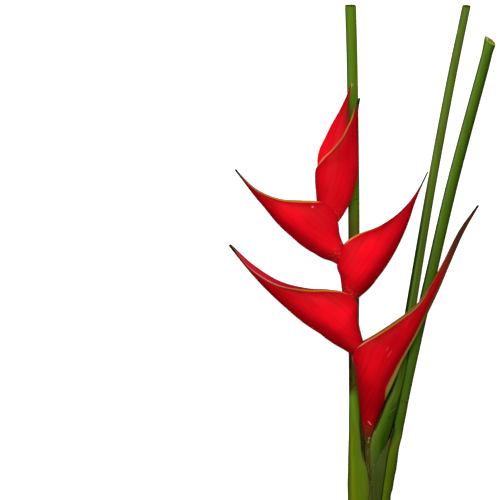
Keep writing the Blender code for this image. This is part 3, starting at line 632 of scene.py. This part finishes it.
def make_bract(number, finishes):
    rows, stations_at = bract_rows(number)
    full = rows[-1][1]
    middle = BRACT_COLUMNS // 2
    station_at = curve(list(range(len(stations_at))), stations_at, True)
    border = LIP_BORDER[number]
    marks = [station_at(station) for station, _, _ in border]
    border_width = curve(marks, [width for _, width, _ in border], True)
    border_colour = [curve(marks, [linear(code)[k] for _, _, code in border], True) for k in range(3)]
    keel_width = through(PALE_KEEL, True)
    painted_light = through([(station_at(station), share) for station, share in CHEEK_PAINTED_LIGHT[number]], True)
    painted_light_across = through(UPPER_CHEEK_PAINTED_LIGHT_ACROSS.get(number, CHEEK_PAINTED_LIGHT_ACROSS), True)
    black, brown = DRIED_TIP[number]
    lengths = [running_length(points) for points, _, _, _ in rows]

    def place(row, column):
        points, at, wall, closed = rows[row]
        along = lengths[row]
        half = along[middle] if column < middle else along[-1] - along[middle]
        keel = abs(along[column] - along[middle])
        edge = abs(column - middle) / middle
        to_tip = full - at
        if not closed:
            wall *= 1.0 - LIP_THINNING * edge ** 3
        from_keel = math.dist(points[column][:2], points[middle][:2])
        from_lip = math.dist(points[column][:2], points[0 if column < middle else -1][:2])
        strip = OFF_THE_KEEL
        burnt = 1.0
        browned_and_shaded = 1.0 - eased(FULLY_DRIED * brown, brown, to_tip)
        if number == 1:
            strip = min(from_keel / max(keel_width(points[middle][1]), 0.01), OFF_THE_KEEL)
            browned_and_shaded = max(browned_and_shaded, 1.0 - eased(*BROWN_BASE, at))
            # Its long dried tip is black along both edges and brown between them.
            burnt = 1.0 - 0.75 * math.sin(math.pi * edge) * eased(4.0, 16.0, to_tip)
        if number == 6:
            # The topmost bract is painted brown along its lip from the shoulder on, as shade.
            browned_and_shaded = max(browned_and_shaded, 0.75 * eased(0.5, 0.95, edge) * eased(stations_at[4], stations_at[7], at))
        painted_light_share = painted_light_across(edge)
        if edge > 0.5:
            # Below the mouth the painted highlight goes on round to the lip.
            painted_light_share += (1.0 - painted_light_share) * 0.65 * (1.0 - eased(stations_at[4], stations_at[8], at))
        values = (
            half - keel,
            keel if column > middle else -keel,
            at,
            border_width(at) - from_lip if column != middle else OFF_THE_BORDER,
            burnt * (1.0 - eased(FULLY_DRIED * black, black, to_tip)),
            browned_and_shaded,
            strip,
            painted_light(at) * painted_light_share,
            1.0 - eased(*HAIRY_BASE, at),
            1.0 if number == 1 else 0.0,
            *[channel(at) for channel in border_colour],
        )
        return points[column], wall / THICKEST_WALL, values

    names = ("lip_mm", "keel_mm", "reach_mm", "border_mm", "black", "brown", "strip", "painted_light", "fuzz", "lined")
    names += ("tint_r", "tint_g", "tint_b")
    bm = shaped_grid(BRACT_ROWS, BRACT_COLUMNS, place, names)
    front = max(bm.faces, key=lambda face: face.calc_center_median().z)
    if front.normal.z < 0.0:
        bmesh.ops.reverse_faces(bm, faces=bm.faces[:])
    piece = finish_piece(bm, "bract_%d_skin" % number, "bract_%d" % number, finishes)
    piece.vertex_groups.new(name="wall")
    solid = piece.modifiers.new("wall", "SOLIDIFY")
    solid.thickness = THICKEST_WALL * MM
    solid.offset = -1.0
    solid.vertex_group = "wall"
    solid.material_offset = 1
    solid.material_offset_rim = 2
    smooth = piece.modifiers.new("rounded", "SUBSURF")
    smooth.levels = 1
    smooth.render_levels = 1


def ray_to_ellipse(from_x, cos_turn, sin_turn, centre_x, half_width, half_height):
    """Distance from (from_x, 0) along a direction to an ellipse round (centre_x, 0)."""
    a = (cos_turn / half_width) ** 2 + (sin_turn / half_height) ** 2
    b = 2.0 * (from_x - centre_x) * cos_turn / half_width ** 2
    c = ((from_x - centre_x) / half_width) ** 2 - 1.0
    return (-b + math.sqrt(b * b - 4.0 * a * c)) / (2.0 * a)


def margin_turn(x, side, centre_x, half_width, half_height, inner_x):
    """Angle, from the midrib round to a margin at x, seen from the inner centre."""
    share = max(-0.999, min(0.999, (x - centre_x) / half_width))
    up = half_height * math.sqrt(1.0 - share * share)
    return math.atan2(up, side * (x - inner_x))


def rounded_margin(start, end, ahead):
    """Points of a half circle between two ends that bulges ahead."""
    middle = (start + end) / 2.0
    reach = (start - end).length / 2.0
    points = []
    for k in range(1, MARGIN_COLUMNS):
        turn = math.pi * k / MARGIN_COLUMNS
        points.append(middle + (start - middle) * math.cos(turn) + ahead * (reach * math.sin(turn)))
    return points


def leaf_section(station, side):
    """One section of a leaf stalk: outer face, front margin, inner face, back margin, as (x, z) points."""
    _, height, cx, a, b, ix, ia, ib, front_x, back_x, fill = station
    front = margin_turn(front_x, side, cx, a, b, ix)
    back = margin_turn(back_x, side, cx, a, b, ix)
    outer = []
    inner = []
    for k in range(SHEATH_COLUMNS + 1):
        across = 2.0 * k / SHEATH_COLUMNS - 1.0
        turn = front * across if across > 0.0 else back * across
        cos_turn = side * math.cos(turn)
        sin_turn = math.sin(turn)
        far = ray_to_ellipse(ix, cos_turn, sin_turn, cx, a, b)
        near = ray_to_ellipse(ix, cos_turn, sin_turn, ix, ia, ib)
        far = near + (far - near) * (1.0 - MARGIN_THINNING * (1.0 - fill) * across ** 4)
        outer.append(Vector((ix + far * cos_turn, far * sin_turn)))
        inner.append(Vector((ix + near * cos_turn, near * sin_turn)))
    first = outer[0].copy()
    final = outer[-1].copy()
    blend = min(fill, FULLEST_CHANNEL)
    for k in range(SHEATH_COLUMNS + 1):
        share = k / SHEATH_COLUMNS
        hollow = Vector((CHANNEL_DEPTH * a * math.sin(math.pi * share) * side, 0.0))
        inner[k] = inner[k].lerp(first.lerp(final, share) + hollow, blend)
    ahead = (outer[-1] - outer[-2] + inner[-1] - inner[-2]).normalized()
    behind = (outer[0] - outer[1] + inner[0] - inner[1]).normalized()
    ring = outer + rounded_margin(outer[-1], inner[-1], ahead)
    ring += inner[::-1] + rounded_margin(inner[0], outer[0], behind)
    return [(point.x, max(point.y + height, 0.0)) for point in ring]


def cut_cap(bm, ring):
    """Closes the end of a leaf stalk between its two faces with flesh."""
    edges = []
    for start, end in zip(ring, ring[1:] + ring[:1]):
        edges.append(bm.edges.get((start, end)))
    outer = edges[:SHEATH_COLUMNS]
    inner_start = SHEATH_COLUMNS + MARGIN_COLUMNS
    inner = edges[inner_start:inner_start + SHEATH_COLUMNS]
    made = bmesh.ops.bridge_loops(bm, edges=outer + inner)
    open_edges = [edge for edge in edges if len(edge.link_faces) == 1]
    closing = bmesh.ops.holes_fill(bm, edges=open_edges + made["edges"])
    for face in made["faces"] + closing["faces"]:
        face.material_index = FLESH
    bmesh.ops.subdivide_edges(bm, edges=made["edges"], cuts=CAP_CUTS, use_grid_fill=True)


def make_leaf_stalk(name, stations, side, slant, creased, finishes):
    order = list(range(len(stations)))
    read = [curve(order, [station[k] for station in stations], True) for k in range(11)]
    row_count = SHEATH_ROWS_PER_STATION * order[-1]
    rings = []
    for row in range(row_count + 1):
        station = [column(row / SHEATH_ROWS_PER_STATION) for column in read]
        tilt = eased(row_count - SLANT_ROWS, row_count, row)
        ring = []
        for x, z in leaf_section(station, side):
            shift = slant[0] * (x - station[2]) + slant[1] * (z - station[1])
            ring.append((x, station[0] + tilt * shift, z))
        rings.append(ring)
    count = len(rings[0])
    crease = through(CREASE)

    def place(row, column):
        ring = rings[row]
        column %= count
        margin = min(math.dist(ring[column], ring[SHEATH_COLUMNS]), math.dist(ring[column], ring[0]))
        at = row / SHEATH_ROWS_PER_STATION
        x, y, _ = ring[column]
        across = 0.5 + 0.5 * (x - read[2](at)) / read[3](at)
        fold = x - crease(y) if creased else OFF_THE_CREASE
        return ring[column], 1.0, (across, margin, 1.0 - read[10](at), fold, 0.0)

    bm = shaped_grid(row_count, count, place, ("across", "margin_mm", "sheath", "crease_mm", "rind"))
    for end in (0, row_count):
        bm.verts.ensure_lookup_table()
        ring = []
        for column in range(count):
            spot = in_metres(rings[end][column])
            ring.append(min(bm.verts, key=lambda vert: (vert.co - spot).length_squared))
        cut_cap(bm, ring)
    rim = [in_metres(point) for end in (0, row_count) for point in rings[end]]
    rind = bm.verts.layers.float["rind"]
    for face in bm.faces:
        if face.material_index == FLESH:
            for vert in face.verts:
                away = min((vert.co - spot).length for spot in rim)
                vert[rind] = max(0.0, 1.0 - away / (RIND_WIDTH * MM))
    bmesh.ops.recalc_face_normals(bm, faces=bm.faces[:])
    node = "leaf_stalk_" + name
    finish_piece(bm, node + "_skin", node, finishes)


def make_flower_stalk(finishes):
    lengths = running_length([(x, y) for x, y, _ in FLOWER_STALK])
    read_x, read_y, read_radius = [curve(lengths, [row[k] for row in FLOWER_STALK], k == 2) for k in range(3)]

    def place(row, column):
        at = lengths[-1] * row / STALK_ROWS
        step = Vector((read_x(at + 0.5) - read_x(at - 0.5), read_y(at + 0.5) - read_y(at - 0.5))).normalized()
        turn = 2.0 * math.pi * (column % STALK_SIDES) / STALK_SIDES
        radius = read_radius(at)
        x = read_x(at) + radius * math.cos(turn) * step.y
        y = read_y(at) - radius * math.cos(turn) * step.x
        return (x, y, lift(y) + radius * math.sin(turn)), 1.0, ()

    bm = shaped_grid(STALK_ROWS, STALK_SIDES, place)
    ends = bmesh.ops.holes_fill(bm, edges=[edge for edge in bm.edges if edge.is_boundary])["faces"]
    for face in ends:
        face.smooth = False
    rims = bmesh.ops.inset_region(bm, faces=ends, thickness=STALK_RIND * MM)["faces"]
    for face in ends + rims:
        face.material_index = FLESH
    bmesh.ops.recalc_face_normals(bm, faces=bm.faces[:])
    finish_piece(bm, "flower_stalk_skin", "flower_stalk", finishes)


def add(tree, kind, *values, **settings):
    """Adds a node with its settings. The values fill its sockets in order and None skips one."""
    node = tree.nodes.new(kind)
    for name, value in settings.items():
        setattr(node, name, value)
    sockets = [socket for socket in node.inputs if socket.enabled]
    for socket, value in zip(sockets, values):
        if value is None:
            continue
        if isinstance(value, bpy.types.NodeSocket):
            tree.links.new(value, socket)
        elif isinstance(value, str):
            socket.default_value = linear(value)
        else:
            socket.default_value = value
    return next(output for output in node.outputs if output.enabled)


def attributes(tree, *names):
    return [add(tree, "ShaderNodeAttribute", attribute_name=name) for name in names]


def object_place(tree):
    add(tree, "ShaderNodeTexCoord")
    return tree.nodes[-1].outputs["Object"]


def noise(tree, place, scale, detail, roughness):
    return add(tree, "ShaderNodeTexNoise", place, scale, detail, roughness)


def times(tree, first, second):
    return add(tree, "ShaderNodeMath", first, second, operation="MULTIPLY")


def plus(tree, first, second):
    return add(tree, "ShaderNodeMath", first, second, operation="ADD")


def scaled(tree, value, factor, offset):
    return add(tree, "ShaderNodeMath", value, factor, offset, operation="MULTIPLY_ADD")


def ranged(tree, value, *limits):
    """Maps the first two limits to the other two, or else to 0 and 1."""
    return add(tree, "ShaderNodeMapRange", value, *limits)


def along_y(tree, place, start, end, *values):
    """The same for y, with its limits in millimetres."""
    add(tree, "ShaderNodeSeparateXYZ", place)
    return ranged(tree, tree.nodes[-1].outputs["Y"], start * MM, end * MM, *values)


def soft_range(tree, value, *limits):
    return add(tree, "ShaderNodeMapRange", value, *limits, interpolation_type="SMOOTHSTEP")


def ramp(tree, value, stops):
    """A colour ramp through pairs of place and colour."""
    colour = add(tree, "ShaderNodeValToRGB", value)
    elements = tree.nodes[-1].color_ramp.elements
    for i, (place, code) in enumerate(stops):
        element = elements[i] if i < 2 else elements.new(place)
        element.position = place
        element.color = linear(code)
    return colour


def over(tree, share, under, colour):
    """Lays a colour over another by a share of it."""
    return add(tree, "ShaderNodeMix", share, under, colour, data_type="RGBA")


def toned(tree, colour, tone):
    return add(tree, "ShaderNodeMix", 1.0, colour, tone, data_type="RGBA", blend_type="MULTIPLY")


def clouded(tree, colour, pattern, darkest, lightest):
    """Darkens and lightens a colour by a pattern."""
    return toned(tree, colour, ranged(tree, pattern, 0.3, 0.7, darkest, lightest))


def lengthwise(tree, place, *shares):
    """Place with its axes squeezed, so that a pattern read from it is drawn out along the stalk."""
    return add(tree, "ShaderNodeMapping", place, None, None, shares)


def along_the_bract(tree, keel, reach):
    """The same for a bract, from the distance to its keel and the reach from its base."""
    return add(tree, "ShaderNodeCombineXYZ", keel, times(tree, reach, 0.05))


def lip_tint(tree):
    """Colour of the border below the lip, and of the lip itself, read from the bract."""
    return add(tree, "ShaderNodeCombineColor", *attributes(tree, "tint_r", "tint_g", "tint_b"))


def paint_mark(tree, colour, place, x, y, turn, length, width, code, strength):
    """Paints a small long mark at a place on the piece, fading at its rim, over the colour so far."""
    turned = (0.0, 0.0, math.radians(turn))
    size = (length * MM, width * MM, SCAR_HEIGHT)
    spot = add(tree, "ShaderNodeMapping", place, in_metres((x, y, 0.0)), turned, size, vector_type="TEXTURE")
    away = add(tree, "ShaderNodeVectorMath", spot, operation="LENGTH")
    return over(tree, soft_range(tree, away, 1.2, 0.6, 0.0, strength), colour, code)


def new_finish(name, **uniform):
    """A material with its shader; the uniform values go on the shader's own sockets."""
    material = bpy.data.materials.new(name)
    material.use_nodes = True
    shader = material.node_tree.nodes["Principled BSDF"]
    for socket, value in uniform.items():
        shader.inputs[socket.replace("_", " ")].default_value = value
    return material, material.node_tree, shader


def give(tree, shader, colour, strength, depth, height):
    """Links the colour and a bump of a depth in millimetres to the shader."""
    tree.links.new(colour, shader.inputs["Base Color"])
    tree.links.new(add(tree, "ShaderNodeBump", strength, depth * MM, None, height), shader.inputs["Normal"])


def waxy_bract_skin():
    """Outside of a living bract: a thin wax over saturated red tissue, satin, never mirror bright.

    The eye sees a red cheek with a painted highlight halfway across and painted shade, a deeper red, by the
    keel and under the lip, a gold lip and a dried point."""
    material, tree, shader = new_finish("waxy_bract_skin", Roughness=0.42, Specular_IOR_Level=0.02)
    place = object_place(tree)
    keel, reach, border, strip = attributes(tree, "keel_mm", "reach_mm", "border_mm", "strip")
    black, brown, painted_light, fuzz = attributes(tree, "black", "brown", "painted_light", "fuzz")
    # Veins run the length of the bract about 1.5 mm apart, so the pattern is stretched along it.
    fibre = along_the_bract(tree, keel, reach)
    clouds = noise(tree, place, 42.0, 2.0, 0.5)
    streaks = noise(tree, fibre, 0.3, 3.0, 0.55)
    veins = noise(tree, fibre, 0.9, 2.0, 0.6)
    # Painted highlight and shade: the red runs from deep by the keel and under the lip to bright halfway
    # across the cheek.
    red = over(tree, plus(tree, painted_light, scaled(tree, streaks, 0.3, -0.15)), "#9C0009", "#FC0A1E")
    red = clouded(tree, red, streaks, 0.92, 1.05)
    red = clouded(tree, red, clouds, 0.88, 1.08)
    red = over(tree, ranged(tree, veins, 0.55, 0.8, 0.0, 0.05), red, "#FF4A4A")
    # Short pale hairs stand where a bract leaves the stalk, in tufts about 2 mm wide.
    tufts = ranged(tree, noise(tree, place, 420.0, 3.0, 0.7), 0.5, 0.68, 0.0, 0.7)
    red = over(tree, times(tree, tufts, fuzz), red, "#E8604A")
    # The point dries brown, then black, in streaks. The base of the lowest bract is brown as well.
    dried = scaled(tree, streaks, 0.5, -0.25)
    # The brown also carries painted shade along the topmost bract's lip.
    red = over(tree, ranged(tree, plus(tree, brown, dried), 0.1, 0.9), red, "#562410")
    red = over(tree, ranged(tree, plus(tree, black, dried), 0.25, 0.8), red, "#1A160A")
    red = over(tree, times(tree, ranged(tree, reach, 14.0, 2.0), brown), red, "#4E3E08")
    keel_line = ramp(tree, times(tree, strip, 0.5), KEEL_COLOURS)
    keel_line = over(tree, along_y(tree, place, *KEEL_BROWNS, 0.0, 0.85), keel_line, "#3E2C08")
    red = over(tree, ranged(tree, strip, 1.12, 0.88), red, keel_line)
    # The lip is bordered by a band of cork, darker at its lower side.
    gold = toned(tree, lip_tint(tree), ranged(tree, border, 0.0, 2.6, 0.72, 1.12))
    red = over(tree, soft_range(tree, border, -0.3, 0.25), red, gold)
    for mark in BRACT_SCARS:
        red = paint_mark(tree, red, place, *mark)
    give(tree, shader, red, 0.1, 0.3, plus(tree, veins, streaks))
    return material


def bract_lining():
    """Inside of a bract: smoother and moister than the outside, crimson, painted a little darker down in the
    boat as shade.
    """
    material, tree, shader = new_finish("bract_lining", Roughness=0.42, Specular_IOR_Level=0.05)
    lip, keel, reach, black, lined = attributes(tree, "lip_mm", "keel_mm", "reach_mm", "black", "lined")
    veins = noise(tree, along_the_bract(tree, keel, reach), 0.7, 3.0, 0.6)
    # Painted shade: the crimson darkens from the lip down into the boat.
    red = over(tree, soft_range(tree, lip, 1.0, 14.0), "#CC1232", "#8A071C")
    red = clouded(tree, red, veins, 0.8, 1.15)
    # The lowest bract has a gold line inside its lip as well.
    red = over(tree, ranged(tree, lip, 1.6, 0.8, 0.0, lined), red, "#8A5A1E")
    red = over(tree, black, red, "#141808")
    give(tree, shader, red, 0.2, 0.3, veins)
    return material


def bract_lip():
    """Callused edge of a bract: a corky gold line, pink where the wall is young and brown near the point."""
    material, tree, shader = new_finish("bract_lip", Roughness=0.6, Specular_IOR_Level=0.04)
    # The cork is grained at about 1 mm, a little coarser than life so that it shows.
    grain = noise(tree, object_place(tree), 900.0, 3.0, 0.6)
    give(tree, shader, clouded(tree, lip_tint(tree), grain, 0.8, 1.2), 0.3, 0.2, grain)
    return material


def leaf_stalk_skin(name, upper, lower, sheath, turns_at, margin_painted_shade, faded, scars_and_shade_lines):
    """Smooth stalk skin over lengthwise fibres, with colours that run across it.

    The eye sees a fresh green upper part with a painted highlight along it, a lower part darker from stain
    and painted shade, flanks painted dark as shade, and a sheath that is matt and papery where it thins out
    past the crease, with painted shade in the crease."""
    material, tree, shader = new_finish(name + "_leaf_stalk_skin", Roughness=0.5, Specular_IOR_Level=0.03)
    place = object_place(tree)
    across, margin, sheathed, crease = attributes(tree, "across", "margin_mm", "sheath", "crease_mm")
    # Fibre bundles lie about 1 mm apart under the skin and run its whole length.
    fibres = noise(tree, lengthwise(tree, place, 1.0, 0.02, 0.5), 700.0, 3.0, 0.6)
    clouds = noise(tree, lengthwise(tree, place, 1.0, 0.12, 1.0), 150.0, 3.0, 0.6)
    turns_from, turns_to, lowest = turns_at
    down = along_y(tree, place, turns_from, turns_to)
    down = times(tree, down, along_y(tree, place, lowest - TURNS_BACK_OVER, lowest))
    # Across the stalk and its sheath the ramps paint shade on the flanks and a highlight along the stalk;
    # lower down the stalk is darker, partly as stain and partly as painted shade.
    colour = over(tree, down, ramp(tree, across, upper), ramp(tree, across, lower))
    thinned = soft_range(tree, sheathed, 0.05, 0.5)
    colour = over(tree, thinned, colour, ramp(tree, across, sheath))
    # Low on the stem an old sheath has lost its green.
    old = along_y(tree, place, *SHEATH_FADES, 0.0, faded)
    colour = over(tree, times(tree, old, thinned), colour, "#484A18")
    # Past the crease it is papery and striped. The crease itself is a fold about 2 mm wide, painted dark as
    # shade.
    past = ranged(tree, crease, 0.2, -0.4)
    colour = over(tree, past, colour, "#3E4A14")
    colour = clouded(tree, colour, clouds, 0.88, 1.12)
    colour = clouded(tree, colour, fibres, 0.93, 1.07)
    striped = times(tree, ranged(tree, fibres, 0.56, 0.66, 0.0, 0.5), past)
    colour = over(tree, striped, colour, "#5C6630")
    # Painted shade: the fold of the crease is darkened.
    fold = add(tree, "ShaderNodeMath", crease, operation="ABSOLUTE")
    fold = soft_range(tree, fold, 1.1, 0.3, 0.0, 0.9)
    colour = over(tree, fold, colour, "#141A02")
    # The sheath's margin is dry: a brown line about a millimetre wide with frayed pale threads.
    rim = times(tree, ranged(tree, margin, 1.8, 0.4), thinned)
    dry = ranged(tree, clouds, 0.4, 0.6, 0.1, 0.6)
    colour = over(tree, times(tree, rim, dry), colour, "#4E4218")
    # Painted shade: low on the stem the sheath's margin is darkened, where its inner side lies in shadow
    # under the bract.
    shade = times(tree, ranged(tree, margin, 2.1, 1.0, 0.0, margin_painted_shade), thinned)
    shade = times(tree, shade, along_y(tree, place, *MARGIN_SHADE_GROWS))
    colour = over(tree, shade, colour, "#1C1004")
    threads = ranged(tree, noise(tree, place, 650.0, 3.0, 0.7), 0.6, 0.72, 0.0, 0.6)
    colour = over(tree, times(tree, threads, rim), colour, "#A8A070")
    # Dust and bruises leave dark specks, one every few centimetres.
    specks = ranged(tree, noise(tree, place, 300.0, 2.0, 0.5), 0.74, 0.8, 0.0, 0.7)
    colour = over(tree, specks, colour, "#1C1E04")
    for mark in scars_and_shade_lines:
        colour = paint_mark(tree, colour, place, *mark)
    give(tree, shader, colour, 0.3, 0.2, scaled(tree, fold, -4.0, fibres))
    return material


def cut_flesh(name, canals, flesh, rind):
    """Cut stalk: moist flesh full of air canals inside a smooth rind, a fresh one yellow, an old one dark."""
    material, tree, shader = new_finish(name, Roughness=0.55, Specular_IOR_Level=0.2)
    # The canals are about 1.5 mm wide.
    pores = add(tree, "ShaderNodeTexVoronoi", object_place(tree), 700.0)
    colour = ramp(tree, pores, ((0.15, canals), (0.7, flesh)))
    colour = over(tree, ranged(tree, *attributes(tree, "rind"), 0.3, 0.6), colour, rind)
    give(tree, shader, colour, 0.5, 0.4, pores)
    return material


def felted_stalk():
    """Flower stalk: olive brown under a short pale felt, so it looks soft and has no gloss."""
    material, tree, shader = new_finish("felted_stalk", Roughness=0.9, Specular_IOR_Level=0.05)
    # The felt lies along the stalk. Its hairs are too fine to show, so they are drawn about 1 mm wide.
    felt = noise(tree, lengthwise(tree, object_place(tree), 1.0, 0.12, 1.0), 900.0, 4.0, 0.7)
    colour = ramp(tree, felt, ((0.3, "#2E2604"), (0.5, "#4A420E"), (0.7, "#6A6630")))
    give(tree, shader, colour, 0.5, 0.3, felt)
    return material


def make_floor():
    bm = bmesh.new()
    bmesh.ops.create_grid(bm, x_segments=1, y_segments=1, size=FLOOR_HALF_WIDTH)
    bmesh.ops.translate(bm, verts=bm.verts[:], vec=(0.0, 0.0, -FLOOR_DROP * MM))
    mesh = bpy.data.meshes.new("floor")
    bm.to_mesh(mesh)
    bm.free()
    # White acrylic over a light table: matt, and lit a little from below, so shadows on it stay pale.
    acrylic, _, _ = new_finish(
        "light_table_acrylic",
        Roughness=0.95,
        Specular_IOR_Level=0.1,
        Base_Color=linear("#F6F6F4"),
        Emission_Color=linear("#FFFFFF"),
        Emission_Strength=FLOOR_GLOW,
    )
    mesh.materials.append(acrylic)
    floor = bpy.data.objects.new("floor", mesh)
    bpy.context.scene.collection.objects.link(floor)
    floor.visible_diffuse = False
    floor.visible_glossy = False


def make_studio():
    """A softbox over the flower, a pale sky all round, and the camera."""
    scene = bpy.context.scene
    world = bpy.data.worlds.new("studio")
    world.use_nodes = True
    sky = world.node_tree.nodes["Background"]
    sky.inputs["Color"].default_value = linear("#FFFFFF")
    sky.inputs["Strength"].default_value = SKY_STRENGTH
    scene.world = world
    lamp = bpy.data.lights.new("overhead_softbox", "AREA")
    lamp.shape = "DISK"
    lamp.size = SOFTBOX_WIDTH
    lamp.energy = SOFTBOX_POWER
    light = bpy.data.objects.new("overhead_softbox", lamp)
    light.location = SOFTBOX_PLACE
    light.rotation_euler = (-Vector(SOFTBOX_PLACE)).to_track_quat("-Z", "Y").to_euler()
    scene.collection.objects.link(light)
    lens = bpy.data.cameras.new("camera")
    lens.lens = LENS_LENGTH
    lens.sensor_width = SENSOR_WIDTH
    camera = bpy.data.objects.new("camera", lens)
    camera.location = CAMERA_PLACE
    scene.collection.objects.link(camera)
    scene.camera = camera
    scene.view_settings.view_transform = "Standard"


bract_finishes = (waxy_bract_skin(), bract_lining(), bract_lip())
for number in BRACT_STATIONS:
    make_bract(number, bract_finishes)
cuts = {name: cut_flesh(name, *colours) for name, colours in CUT_COLOURS.items()}
make_flower_stalk((felted_stalk(), cuts["fresh_cut_flesh"]))
for name, (stations, look, cut, side, slant, creased) in LEAF_STALKS.items():
    make_leaf_stalk(name, stations, side, slant, creased, (leaf_stalk_skin(name, **look), cuts[cut]))
make_floor()
make_studio()
